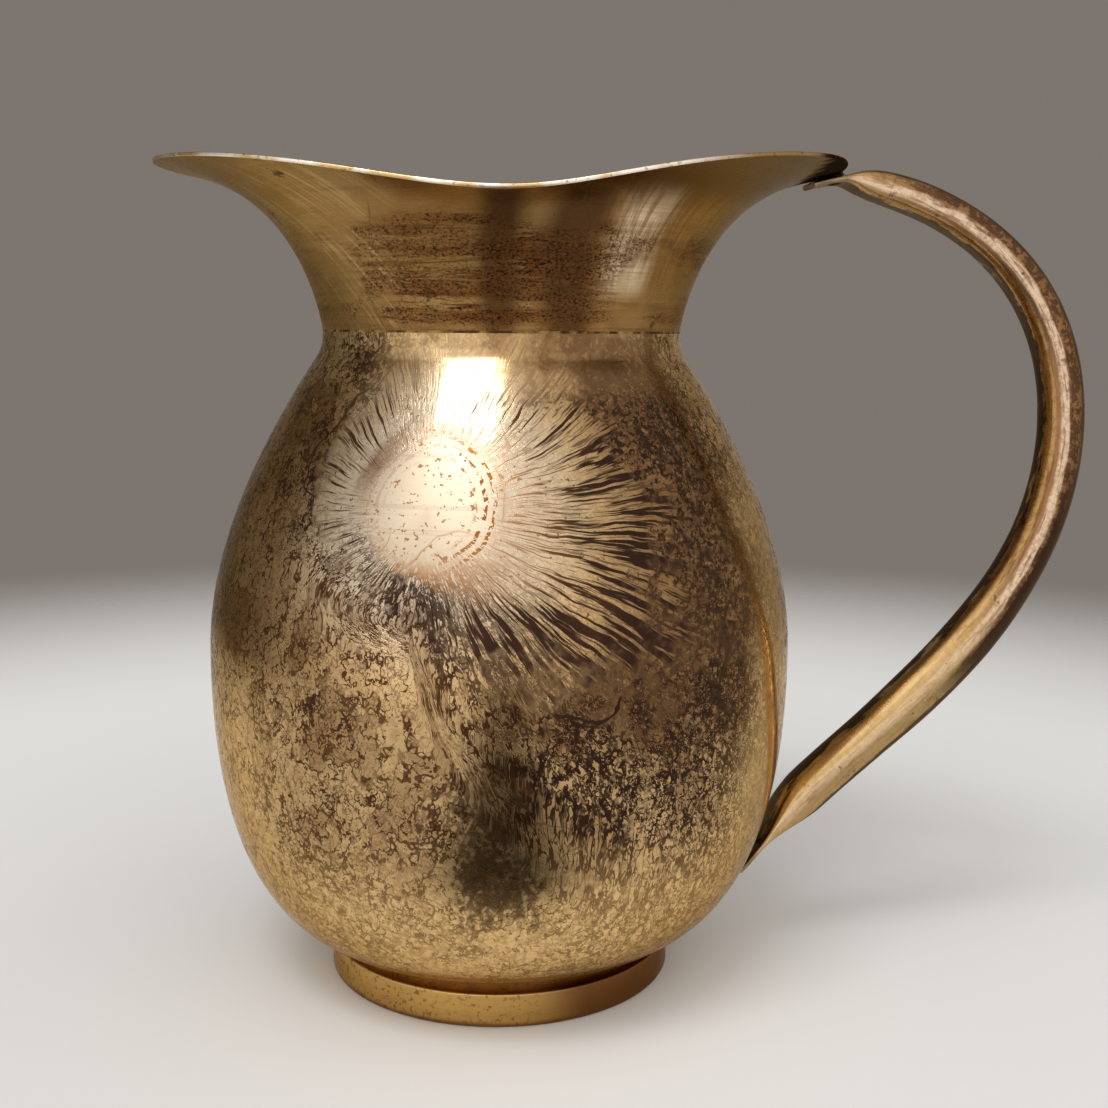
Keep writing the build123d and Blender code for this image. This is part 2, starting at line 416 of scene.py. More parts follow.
    # broken dark outline round the burst, cracks, and brown smudges that the streaks fade into
    crack_place = s.shift(s.place, 5 * MM, 120.0)
    ragged = s.plus(far, s.times(s.plus(s.noise(crack_place, 60.0, 3.0), -0.5), 0.9))
    outline = s.times(s.line(ragged, 1.15, 0.030), s.plus(towards(165, 1.0), towards(-50)))
    outline = s.times(outline, s.step(s.noise(s.place, 50.0, 1.0), 0.42, 0.5))
    crack = s.line(s.noise(crack_place, 38.0, 1.0), 0.5, 0.006)
    crack = s.times(crack, s.step(s.noise(s.place, 30.0, 0.0), 0.48, 0.56))
    smudge = s.times(s.step(ray, 0.42, 0.70), in_burst, s.step(far, 0.28, 0.85))
    smudge = s.times(smudge, s.share(towards(0, 1.0), 0.28, 0.6))
    # Painted shade: a darker band on the handle side of the belly, from low on the belly to under the
    # shoulder top.
    shaded = s.times(handle_side, s.step(z, 66 * MM, 104 * MM), s.inverse(s.step(z, 150 * MM, 166 * MM)))
    clouded = s.times(s.step(cloud, 0.42, 0.72), s.step(z, 42 * MM, 80 * MM), outside, 0.30)
    tarnish_and_shade = s.plus(clouded, s.times(shaded, s.share(patch, 0.12, 0.5)))
    # Painted shade on the left of the belly, from mid height to under the shoulder top.
    left = s.sector(s.negative(around), 34, 48, 115, 165)
    left = s.times(left, s.step(z, 78 * MM, 112 * MM), s.inverse(s.step(z, 156 * MM, 168 * MM)))
    # Painted shade over the outer part of the burst and just past it, on its handle side.
    shade_past_burst = s.times(s.step(far, 0.42, 0.95), towards(4, 1.0), s.inverse(s.step(far, 1.2, 1.8)))
    shade_past_burst = s.times(shade_past_burst, s.share(patch, 0.36, 0.45))
    # Tarnish together with painted shade: the clouds and stains are real tarnish; the handle-side band, the
    # front below the burst, the left and the area past the burst are painted shade.
    tarnish_and_shade = s.plus(tarnish_and_shade, s.times(stain, 0.34), s.times(below, 0.15))
    tarnish_and_shade = s.plus(tarnish_and_shade, s.times(left, s.share(patch, 0.08, 0.5)), shade_past_burst)
    tarnish_and_shade = s.times(tarnish_and_shade, s.inverse(s.times(clean, 0.85)))

    marks = s.most(s.most(streak, worms), s.most(dots, s.times(speck, 0.8)))
    marks = s.most(marks, s.most(s.most(outline, s.times(crack, 0.5)), s.most(s.times(shore, 0.9), pepper)))
    plain = s.sector(around, 46, 58, 66, 72)
    plain = s.times(plain, s.step(z, 42 * MM, 60 * MM), s.inverse(s.step(z, 128 * MM, 146 * MM)))
    top = s.times(s.step(z, 157 * MM, 165 * MM), s.step(front, 0.6, 0.85))
    marks = s.times(marks, s.share(clean, 1.0, -0.3), s.share(plain, 1.0, -0.4), s.share(top, 1.0, -0.6))
    # Painted dark reflection: a dark column down the front of the belly, fading out upwards.
    from_middle = s.calc("ABSOLUTE", s.plus(around, math.radians(1), s.times(s.plus(cloud, -0.5), 0.3)))
    column = s.inverse(s.step(from_middle, math.radians(4), math.radians(13)))
    column = s.times(column, s.step(z, 30 * MM, 44 * MM), s.inverse(s.step(z, 60 * MM, 116 * MM)))
    grain = s.step(s.noise(s.shift(s.place, 0.8 * MM, 500.0), 540.0, 3.0, 0.6), 0.45, 0.57)
    # Painted light: a lighter base on the clean lower belly and lower sides.
    base = s.blend(clean, PALE_GOLD, (0.80, 0.55, 0.25))
    grained = s.times(grain, s.plus(s.share(s.step(frayed, 0.4, 1.3), 0.14, 0.18), s.times(low, 0.08)))
    base = s.blend(grained, base, TAN)
    base = s.blend(s.times(s.inverse(s.step(reach, DISC_R + 2 * MM, DISC_R + 32 * MM)), 0.9), base, SILVERED)
    tarnish_and_shade = s.times(tarnish_and_shade, s.plus(1.0, s.times(plain, -0.6)))
    # Brown from smudges, the crescent, tarnish and the painted shade in it.
    browned_and_shaded = s.most(smudge, s.most(tarnish_and_shade, s.times(crescent, s.plus(patch, 0.1))))
    base = s.blend(s.calc("MINIMUM", browned_and_shaded, 0.76), base, BROWN)
    far_right = s.times(s.step(far, 0.45, 1.0), towards(-10, 1.0))
    dark = s.most(s.most(s.step(dense, 0.42, 0.70), handle_side), s.most(pepper, far_right))
    ink = s.blend(dark, (0.085, 0.032, 0.009), UMBER)
    near_middle = s.times(s.inverse(s.step(far, 0.05, 0.40)), s.share(outside, 1.0, -1.0))
    ink = s.blend(near_middle, ink, (0.30, 0.115, 0.018))
    # The painted dark reflection down the front, speckled into the base.
    front_dark_column = s.step(s.plus(column, s.times(s.plus(patch, hair, -1.0), 2.4)), 0.25, 1.0)
    front_dark_column = s.times(front_dark_column, s.step(column, 0.0, 0.4), s.share(patch, 0.50, 0.45))
    base = s.blend(front_dark_column, base, UMBER)
    color = s.blend(marks, base, s.blend(low, ink, (0.16, 0.075, 0.020)))
    spun = s.noise(s.scaled(s.place, 8.0, 8.0, 1500.0), 1.0, 1.0)
    color = s.blend(s.times(s.step(spun, 0.55, 0.65), in_disc, 0.14), color, BROWN)
    haze = s.inverse(s.step(reach, DISC_R - 3 * MM, DISC_R + 3 * MM))
    dulled = s.times(s.step(frayed, 0.5, 1.3), s.inverse(plain), 0.08)
    rough = s.plus(s.share(marks, 0.08, 0.25), dulled, s.times(haze, 0.26))
    relief = s.plus(s.times(marks, -0.5), s.times(spun, 0.12))
    return s.finish(color, METALLIC, rough, s.bump(relief, 0.03 * MM), coat=0.16, coat_roughness=0.10)


def neck_brass():
    """Spun brass: fine turning lines, brown bands and stipple at the front, cleaner under the lip; painted
    reflections and shade.
    """
    s = Shading("neck_brass")
    x, y, z = s.parts(s.place)
    around = s.calc("ARCTAN2", x, s.times(y, -1.0))
    spun = s.noise(s.scaled(s.place, 12.0, 12.0, 1500.0), 1.0, 3.0, 0.7)
    bands = s.noise(s.scaled(s.place, 16.0, 16.0, 300.0), 1.0, 5.0, 0.68)
    cloud = s.noise(s.place, 34.0, 3.0, 0.6)
    side = s.calc("ABSOLUTE", s.plus(around, math.radians(3), s.times(s.plus(cloud, -0.5), 1.4)))
    front = s.inverse(s.step(side, math.radians(22), math.radians(44)))
    ragged_z = s.plus(z, s.times(cloud, 14 * MM))
    tall = s.times(s.step(z, 176 * MM, 179 * MM), s.inverse(s.step(ragged_z, 206 * MM, 211 * MM)))
    dull = s.times(tall, s.plus(s.times(front, 0.85), s.times(s.step(cloud, 0.46, 0.66), 0.7)))
    stain = s.times(s.step(bands, 0.40, 0.58), dull)
    worn = s.shift(s.scaled(s.place, 1.0, 1.0, 1.7), 1.5 * MM, 260.0)
    prick = s.noise(worn, 1250.0, 3.0, 0.62, 0.3)
    where_dull = s.step(s.plus(s.times(dull, 0.7), s.times(bands, 0.6)), 0.42, 0.85)
    stipple = s.times(s.step(prick, 0.50, 0.57), s.step(bands, 0.38, 0.56), where_dull)
    worm = s.line(s.noise(worn, 420.0, 3.0, 0.6, 0.5), 0.5, 0.022)
    stipple = s.most(stipple, s.times(worm, s.step(s.plus(dull, cloud), 0.75, 1.1)))
    blot = s.step(s.noise(s.scaled(s.place, 1.0, 1.0, 1.6), 120.0, 4.0, 0.65), 0.64, 0.68)
    blot = s.times(blot, s.step(cloud, 0.45, 0.6))
    near_seam = s.inverse(s.step(z, SEAM_Z, SEAM_Z + 3.5 * MM))
    scratch_place = s.shift(s.place, 2 * MM, 60.0)
    broken = s.step(s.noise(s.place, 55.0, 1.0), 0.50, 0.58)
    scratch = s.line(s.noise(s.scaled(scratch_place, 1.0, 1.0, 0.35), 26.0, 0.0), 0.5, 0.0035)
    slant = s.vector(s.times(s.plus(s.times(around, 0.052), s.times(z, 0.8)), 900.0), s.times(z, 60.0), 0.0)
    on_left = s.sector(s.negative(around), 22, 36, 62, 80)
    rubbed = s.times(s.step(s.noise(slant, 1.0, 3.0, 0.6), 0.54, 0.64), on_left, s.step(cloud, 0.35, 0.5))
    dash_place = s.scaled(s.shift(s.place, 0.5 * MM, 300.0), 70.0, 70.0, 900.0)
    dash = s.step(s.noise(dash_place, 1.0, 3.0, 0.6), 0.52, 0.60)
    stipple = s.most(stipple, s.times(dash, s.plus(dull, 0.12), 0.85))
    marks = s.most(s.times(stipple, 0.85), s.most(s.times(blot, 0.85), s.times(scratch, broken, 0.45)))
    marks = s.most(marks, s.times(near_seam, s.step(bands, 0.38, 0.6), 0.8))

    bent = s.plus(around, s.times(s.plus(cloud, -0.5), 0.18))

    def column(first, last, edge=4):
        """1 between two directions round the neck, fading over an edge, all in degrees."""
        return s.sector(bent, first - edge, first + edge, last - edge, last + edge)

    # Painted reflection: a bright column on the handle side of the neck, below the lip.
    bright_reflection_band = s.times(column(28, 41), s.step(z, 182 * MM, 190 * MM), s.inverse(s.step(z, 206 * MM, 214 * MM)))
    under_lip = s.inverse(s.step(z, 207 * MM, 212 * MM))
    # Painted dark reflections in columns down the front and right of the neck, and painted shade just under
    # the lip, stronger on the right.
    dark_reflection_bands = s.plus(s.times(column(-6, 4, 3), 0.84), s.times(column(11, 25), 0.97))
    dark_reflection_bands = s.plus(dark_reflection_bands, s.times(column(58, 110, 12), 0.5))
    dark_reflection_bands = s.times(dark_reflection_bands, s.most(under_lip, 0.35))
    right = s.sector(around, 0, 36, 110, 165)
    dark_reflection_bands = s.most(dark_reflection_bands, s.times(s.step(z, 203 * MM, 212 * MM), s.share(right, 0.2, 0.8)))
    base = s.blend(s.step(cloud, 0.35, 0.7), TAN, (0.40, 0.25, 0.095))
    base = s.blend(bright_reflection_band, base, (0.90, 0.70, 0.44))
    base = s.blend(s.times(s.step(spun, 0.35, 0.7), 0.3), base, (0.24, 0.125, 0.035))
    base = s.blend(s.times(stain, 0.72), base, BROWN)
    brushed = s.noise(s.vector(s.times(around, 46.0), s.times(z, 60.0), 0.0), 1.0, 4.0, 0.65)
    shade = s.times(right, s.step(z, 178 * MM, 200 * MM), s.share(s.step(brushed, 0.42, 0.60), 0.22, 0.5))
    base = s.blend(shade, base, BROWN)
    base = s.blend(dark_reflection_bands, base, (0.085, 0.037, 0.012))
    base = s.blend(s.times(rubbed, 0.6), base, (0.56, 0.38, 0.17))
    color = s.blend(marks, base, s.blend(s.step(prick, 0.45, 0.6), BROWN, UMBER))
    # Black at the lip's handle end: partly burnt braze, partly painted shadow under the lip's tip.
    licked = s.plus(x, s.times(s.noise(s.place, 210.0, 3.0, 0.6), 10 * MM))
    burnt = s.step(licked, flare_high.x - 9 * MM, flare_high.x - 4 * MM)
    burnt = s.times(burnt, s.step(z, 211 * MM, 213 * MM))
    color = s.blend(burnt, color, SOOT_AND_SHADOW)
    rough = s.plus(0.24, s.times(dull, 0.10), s.times(marks, 0.2), s.times(spun, 0.05), s.times(burnt, 0.5))
    relief = s.plus(s.times(spun, 0.25), s.times(marks, -0.4))
    coat = s.times(s.inverse(burnt), 0.06)
    normal = s.bump(relief, 0.025 * MM)
    return s.finish(color, METALLIC, rough, normal, coat=coat, coat_roughness=0.15, anisotropic=0.55)


def lip_edge_brass():
    """The cut edge of the lip, rubbed bright by handling, browner towards the handle, and black at it: partly
    burnt, partly painted shadow.
    """
    s = Shading("lip_edge_brass")
    x = s.parts(s.place)[0]
    cloud = s.noise(s.place, 90.0, 3.0, 0.6)
    prick = s.noise(s.place, 900.0, 2.0, 0.6)
    base = s.blend(s.step(cloud, 0.40, 0.62), (0.88, 0.80, 0.68), PALE_GOLD)
    base = s.blend(s.times(s.step(x, 35 * MM, 60 * MM), 0.9), base, (0.30, 0.16, 0.05))
    # Black at the handle end: partly burnt braze, partly painted shadow.
    burnt = s.step(x, flare_high.x - 17 * MM, flare_high.x - 12 * MM)
    base = s.blend(burnt, base, SOOT_AND_SHADOW)
    color = s.blend(s.times(s.step(prick, 0.58, 0.66), 0.5), base, BROWN)
    rough = s.plus(0.16, s.times(cloud, 0.1), s.times(burnt, 0.6))
    return s.finish(color, METALLIC, rough, s.bump(prick, 0.02 * MM))


def foot_brass():
    """Cleaner brass: turning lines, a little speckle, a painted highlight on the top edge, and painted shade
    in the cove, along the bottom edge and on the right side.
    """
    s = Shading("foot_brass")
    x, y, z = s.parts(s.place)
    around = s.calc("ARCTAN2", x, s.times(y, -1.0))
    spun = s.noise(s.scaled(s.place, 14.0, 14.0, 1600.0), 1.0, 3.0, 0.7)
    cloud = s.noise(s.place, 42.0, 3.0, 0.6)
    prick = s.noise(s.shift(s.place, 1.5 * MM, 250.0), 720.0, 3.0, 0.65, 0.4)
    left = s.sector(around, -165, -110, -15, 12)
    speckle = s.times(s.step(prick, 0.55, 0.63), s.step(s.plus(s.times(left, 0.28), cloud), 0.45, 0.75))
    cove = s.step(z, 9.0 * MM, 10.2 * MM)
    bottom = s.inverse(s.step(s.plus(z, s.times(cloud, 1.2 * MM)), 1.2 * MM, 2.6 * MM))
    edge = s.band(z, 8.2 * MM, 8.6 * MM, 8.8 * MM, 9.0 * MM)
    base = s.blend(s.step(cloud, 0.3, 0.7), (0.60, 0.37, 0.11), (0.52, 0.31, 0.09))
    base = s.blend(s.times(s.step(spun, 0.35, 0.7), 0.3), base, DEEP_GOLD)
    # Painted highlight along the top edge of the band.
    base = s.blend(s.times(edge, 0.6), base, PALE_GOLD)
    # Painted shade on the right side of the foot.
    right = s.sector(around, 4, 28, 110, 165)
    base = s.blend(s.times(right, s.share(cloud, 0.80, 0.4)), base, BROWN)
    # Painted shade in the cove under the body and along the bottom edge.
    base = s.blend(s.most(s.times(cove, 0.55), s.times(bottom, 0.8)), base, BROWN)
    color = s.blend(s.times(speckle, 0.7), base, BROWN)
    rough = s.plus(0.30, s.times(speckle, 0.2), s.times(cove, 0.1))
    relief = s.plus(s.times(spun, 0.3), s.times(speckle, -0.3))
    normal = s.bump(relief, 0.03 * MM)
    return s.finish(color, METALLIC, rough, normal, coat=0.2, coat_roughness=0.12, anisotropic=0.35)


def handle_brass():
    """Tube coppery round the grip, with a painted highlight along its face, painted light and dark bands, and
    painted dark inner and outer sides.
    """
    s = Shading("handle_brass")
    along = s.add("ShaderNodeAttribute", attribute_name="along").outputs["Fac"]
    around = s.add("ShaderNodeAttribute", attribute_name="around").outputs["Fac"]
    outward = s.calc("SINE", around)
    cloud = s.noise(s.place, 60.0, 3.0, 0.6)
    patch = s.noise(s.place, 170.0, 4.0, 0.65)
    run = s.times(along, TUBE_LENGTH)
    across = s.calc("COSINE", around)
    lengthwise = s.noise(s.vector(s.times(outward, 3.5), across, s.times(run, 0.045)), 2.0, 4.0, 0.65)
    crosswise = s.noise(s.vector(s.times(run, 2.6), s.times(outward, 0.8), across), 1.0, 3.0, 0.7)
    uneven = s.times(s.plus(lengthwise, s.times(patch, 0.6), -0.8), 0.55)
    inward = s.times(outward, -1.0)
    front = s.inverse(s.step(s.plus(outward, s.times(uneven, 0.3)), 0.86, 0.96))
    # Painted dark reflections: dark strips along the tube's outer and inner sides.
    outer = s.times(s.step(s.plus(outward, s.times(uneven, 0.7)), 0.52, 0.68), front)
    inner = s.step(s.plus(inward, uneven), 0.84, 0.95)
    lower = s.step(along, 0.56, 0.72)
    grip = s.times(s.step(along, 0.03, 0.14), s.inverse(lower))
    base = s.blend(grip, GOLD, COPPERY)
    base = s.blend(s.times(lower, 0.8), base, (0.56, 0.385, 0.175))
    wavy = s.plus(outward, s.times(uneven, 0.6))
    # Painted highlight: a bright line along the tube's face where the window reflects, fainter on the lower
    # part.
    worn = s.times(s.band(wavy, -0.42, -0.22, -0.04, 0.12), s.inverse(s.times(lower, 0.6)))
    # Painted light: a lighter golden band on the inner front of the grip.
    lit_band = s.times(s.step(s.plus(inward, uneven), 0.42, 0.60), grip)
    # Painted dark reflections: a dark line at the inner edge of the highlight and a brown band outside it.
    dark_line_by_highlight = s.times(s.band(wavy, -0.60, -0.46, -0.40, -0.30), s.share(grip, 0.10, 0.40))
    shoulder = s.times(s.step(wavy, -0.02, 0.10), s.share(front, 0.4, 0.6), s.share(grip, 0.20, 0.45))
    fine = s.step(s.noise(s.shift(s.place, 0.6 * MM, 500.0), 620.0, 3.0, 0.65), 0.44, 0.60)
    base = s.blend(s.times(lit_band, 0.8), base, (0.50, 0.30, 0.10))
    base = s.blend(s.times(worn, 0.85), base, (0.70, 0.53, 0.38))
    base = s.blend(s.most(dark_line_by_highlight, shoulder), base, BROWN)
    base = s.blend(s.times(fine, s.plus(0.15, s.times(grip, 0.25))), base, (0.22, 0.11, 0.04))
    streaks = s.times(s.step(lengthwise, 0.48, 0.62), s.plus(0.25, s.times(grip, 0.45)))
    base = s.blend(streaks, base, BROWN)
    # Painted dark reflection: a dark strip along the outer side of the lower grip.
    strip = s.times(s.step(wavy, 0.10, 0.30), front, s.step(along, 0.42, 0.52))
    strip = s.times(strip, s.inverse(s.step(along, 0.66, 0.76)))
    base = s.blend(s.times(strip, 0.92), base, UMBER)
    scratch = s.times(s.step(crosswise, 0.60, 0.66), s.share(lower, 0.15, 0.55), s.step(patch, 0.42, 0.55))
    spot = s.step(patch, 0.63, 0.68)
    pinched = s.most(s.inverse(s.step(along, 0.03, 0.045)), s.step(along, 0.955, 0.985))
    marks = s.most(s.most(outer, inner), s.most(s.times(scratch, 0.6), s.times(spot, 0.6)))
    # Mottling on the outer side of the grip: partly texture, partly the painted dark reflection there.
    mottled = s.step(s.plus(patch, s.times(fine, 0.2)), 0.50, 0.62)
    mottled = s.times(mottled, s.step(wavy, 0.0, 0.15), grip, 0.75)
    marks = s.most(s.most(marks, mottled), s.times(pinched, s.step(cloud, 0.35, 0.6), 0.6))
    color = s.blend(s.times(marks, 0.93), base, UMBER)
    rough = s.plus(0.17, s.times(marks, 0.25), s.times(patch, 0.08))
    relief = s.plus(s.times(crosswise, 0.35), s.times(lengthwise, 0.4), s.times(marks, -0.3))
    metallic = s.share(marks, METALLIC, -0.1)
    return s.finish(color, metallic, rough, s.bump(relief, 0.05 * MM), coat=0.15, coat_roughness=0.12)


def inside_brass():
    """The jug's inside: dull brass with turning lines and faint tide marks."""
    s = Shading("inside_brass")
    spun = s.noise(s.scaled(s.place, 10.0, 10.0, 900.0), 1.0, 3.0, 0.7)
    cloud = s.noise(s.place, 40.0, 4.0, 0.6)
    tide = s.noise(s.scaled(s.place, 12.0, 12.0, 120.0), 1.0, 2.0, 0.5)
    base = s.blend(s.step(cloud, 0.35, 0.65), GOLD, DEEP_GOLD)
    base = s.blend(s.times(s.step(tide, 0.5, 0.62), 0.45), base, BROWN)
    spots = s.step(s.noise(s.place, 420.0, 3.0, 0.6), 0.64, 0.68)
    color = s.blend(s.times(spots, 0.6), base, UMBER)
    rough = s.plus(0.34, s.times(cloud, 0.15))
    relief = s.plus(spun, s.times(spots, -0.5))
    return s.finish(color, 0.95, rough, s.bump(relief, 0.03 * MM), anisotropic=0.4)


def braze(name, clean, dirty, amount):
    """Joint metal: rough, with scale and flux burnt onto it."""
    s = Shading(name)
    grain = s.noise(s.place, 900.0, 4.0, 0.7)
    cloud = s.noise(s.place, 240.0, 3.0, 0.6)
    scale = s.times(s.step(cloud, 0.30, 0.62), amount)
    color = s.blend(scale, clean, dirty)
    rough = s.plus(0.38, s.times(grain, 0.3))
    return s.finish(color, 0.7, rough, s.bump(s.plus(grain, cloud), 0.12 * MM))


# ---- pieces ----

def body_outline():
    """Outside of the body from the flat bottom's edge to the collar's top."""
    shoulder_end = np.array((50.2 * MM, 168.4 * MM))
    shoulder_handle = np.array((78.3 * MM, 125.5 * MM))
    bowl_points = [(43.6 * MM, BOTTOM_Z), (46.8 * MM, BOTTOM_Z), (BELLY_R, 13.9 * MM), (BELLY_R, BELLY_Z)]
    bowl = bezier(bowl_points, 72)
    shoulder = bezier([(BELLY_R, BELLY_Z), (BELLY_R, 100.1 * MM), shoulder_handle, shoulder_end], 72)
    run_r, run_z = shoulder_handle - shoulder_end
    lean = math.atan2(run_r, -run_z)
    tangent_length = (shoulder_end[0] - NECK_R) / math.sin(lean)
    turn_z = shoulder_end[1] + tangent_length * (1 + math.cos(lean))
    radius = tangent_length / math.tan(lean / 2)
    turn = arc((NECK_R + radius, turn_z), radius, 180 + math.degrees(lean), 180, 14)
    collar = np.array([(NECK_R, SEAM_Z)])
    return without_repeats(np.vstack([bowl, shoulder, turn, collar]))


def other_material(made, number, first, count, columns):
    """Gives some columns of a lathe's grid, count of them from first on, another of the piece's materials."""
    for index, polygon in enumerate(made.data.polygons):
        if first <= index % columns < first + count:
            polygon.material_index = number


def body_piece():
    outside = body_outline()
    inside = beside(outside, SHEET)[::-1]
    inside[0] = (NECK_R - SHEET, SEAM_Z)
    shares = (0.98, 0.7, 0.4, 0.02)
    bottom = np.array([(inside[-1][0] * share, BOTTOM_Z + SHEET) for share in shares])
    under = np.array([(outside[0][0] * share, BOTTOM_Z) for share in reversed(shares)])
    profile = np.vstack([outside, inside, bottom, under])
    made = lathe("body", profile, ROUND_SEGMENTS)
    other_material(made, 1, len(outside), len(inside) + len(bottom) - 1, len(profile))
    return made


def flare_curve(count):
    """Outside of the neck from the seam to the edge of the uncut blank."""
    rise = [(NECK_R, FLARE_Z), (NECK_R, 178.4 * MM), (55.7 * MM, 215 * MM), (75.9 * MM, 215 * MM)]
    edge = (97.0 * MM, 219.9 * MM)
    return bezier([*rise, edge], count)


def lip_radius(angles):
    """Radius of the cut lip, seen from above, at each angle from +X."""
    tip, back, side = -flare_low.x, flare_high.x, flare_high.y
    spout = bezier([(-tip, 0), (-tip, 18 * MM), (-79 * MM, side), (0, side)], 200)
    rear = bezier([(0, side), (34 * MM, side), (back, 68 * MM), (back, 0)], 200)[1:]
    plan = np.vstack([spout, rear])
    turned = np.abs(np.arctan2(np.sin(angles), np.cos(angles)))
    order = np.argsort(np.arctan2(plan[:, 1], plan[:, 0]))
    plan = plan[order]
    return np.interp(turned, np.arctan2(plan[:, 1], plan[:, 0]), np.hypot(plan[:, 0], plan[:, 1]))


def flare_piece():
    """Spun neck cut to the lip's plan, with the cut edge rounded over."""
    segments, rows, edge_rows, samples = 360, 70, 7, 600
    rounding = 0.5 * SHEET
    outer = flare_curve(samples)
    inner = beside(outer, SHEET)
    even = np.linspace(0, 1, samples)
    angles = np.linspace(0, 2 * math.pi, segments, endpoint=False)
    vertices = []
    for angle, radius in zip(angles, lip_radius(angles)):
        reach = radius - rounding
        t_out = np.interp(reach, outer[:, 0], even)
        t_in = np.interp(reach, inner[:, 0], even)
        up = np.linspace(0, 1, rows)
        out_r = np.interp(up * t_out, even, outer[:, 0])
        out_z = np.interp(up * t_out, even, outer[:, 1])
        in_r = np.interp(up * t_in, even, inner[:, 0])[::-1]
        in_z = np.interp(up * t_in, even, inner[:, 1])[::-1]
        low, high = np.array((out_r[-1], out_z[-1])), np.array((in_r[0], in_z[0]))
        middle, half = (low + high) / 2, (high - low) / 2
        turn = np.linspace(-math.pi / 2, math.pi / 2, edge_rows + 2)[1:-1]
        edge_r = middle[0] + half[0] * np.sin(turn) + rounding * np.cos(turn)
        edge_z = middle[1] + half[1] * np.sin(turn) + 0.08 * SHEET * np.cos(turn)
        r = np.concatenate([out_r, edge_r, in_r])
        z = np.concatenate([out_z, edge_z, in_z])
        vertices += [(a * math.cos(angle), a * math.sin(angle), b) for a, b in zip(r, z)]
    columns = 2 * rows + edge_rows
    made = mesh_object("neck", vertices, grid_faces(segments, columns), 60)
    other_material(made, 1, rows + edge_rows, rows - 1, columns)
    other_material(made, 2, rows, edge_rows, columns)
    return made


def seam_piece():
    """Brazed seam between the collar and the neck."""
    inner_r = NECK_R - SHEET
    middle_z = SEAM_Z + 0.3 * MM
    edge_r = NECK_R - 0.05 * MM
    outside = np.array([(edge_r, SEAM_Z), (NECK_R - 0.08 * MM, middle_z), (edge_r, FLARE_Z)])
    bead = arc((inner_r, middle_z), 0.6 * MM, 110, 250, 10)
    return lathe("neck_seam", np.vstack([outside, bead]), ROUND_SEGMENTS)


def foot_piece():
    """Foot ring: cove under the body, upright band and rounded, turned-in bottom edge."""
    wall, edge, top_r, band_z = 1.2 * MM, 0.5 * MM, 43.4 * MM, 8.9 * MM
    cove = FOOT_R - edge - top_r
    profile = np.vstack([
        [(top_r, BOTTOM_Z)],
        arc((top_r + cove, band_z + cove), cove, 180, 270, 14),
        arc((FOOT_R - edge, band_z - edge), edge, 90, 0, 7),
        [(FOOT_R - 0.05 * MM, 5 * MM)],
        arc((FOOT_R - wall, wall), wall, 0, -90, 9),
        [(43.7 * MM, 0.0), (43.7 * MM, wall), (FOOT_R - wall, wall * 1.3), (FOOT_R - wall, band_z - wall)],
        [(top_r - wall + cove / 2, band_z), (top_r - wall, band_z + cove / 2), (top_r - wall, BOTTOM_Z)],
    ])
    return lathe("foot", without_repeats(profile), ROUND_SEGMENTS)


def solder_piece():
    """Fillet of solder in the corner between the body's bottom and the foot ring."""
    corner = 42.2 * MM
    leg = 1.6 * MM
    hollow = arc((corner - leg, BOTTOM_Z - leg), leg, 0, 90, 8)
    return lathe("solder_fillet", np.vstack([[(corner, BOTTOM_Z)], hollow]), 192)


# Along the centreline: distance, thickness in the handle's plane and width across it, in millimetres
HANDLE_SECTIONS = (
    (0.0, 1.6, 15.0), (4.0, 1.6, 17.5), (8.5, 1.8, 18.0), (11.0, 3.2, 17.6), (14.2, 5.8, 16.8),
    (20.0, 8.2, 15.6), (30.0, 9.3, 14.9), (47.0, 9.8, 14.5), (65.0, 10.6, 14.0), (88.0, 11.7, 13.2),
    (112.0, 12.5, 12.9), (135.0, 12.8, 12.8), (155.0, 13.2, 12.8), (180.0, 14.2, 12.8), (198.0, 14.1, 12.9),
    (216.0, 13.1, 13.1), (230.0, 12.6, 13.4), (240.0, 12.0, 14.0), (246.0, 9.2, 15.4), (251.0, 5.8, 16.8),
    (255.5, 3.1, 17.6), (260.0, 1.7, 18.0), (264.5, 1.6, 18.0), (269.1, 1.6, 16.0),
)


def smooth_through(at, known, values):
    """A smooth curve through known values that doesn't overshoot them."""
    known, values = np.array(known), np.array(values)
    slope = np.diff(values) / np.diff(known)
    product = slope[1:] * slope[:-1]
    inner = np.where(product > 0, 2 * product / (slope[1:] + slope[:-1] + 1e-12), 0)
    tangent = np.concatenate([[slope[0]], inner, [slope[-1]]])
    i = np.clip(np.searchsorted(known, at) - 1, 0, len(slope) - 1)
    span = known[i + 1] - known[i]
    t = (at - known[i]) / span
    a, b = (1 + 2 * t) * (1 - t) ** 2, t * (1 - t) ** 2
    c, d = t ** 2 * (3 - 2 * t), t ** 2 * (t - 1)
    return a * values[i] + b * span * tangent[i] + c * values[i + 1] + d * span * tangent[i + 1]


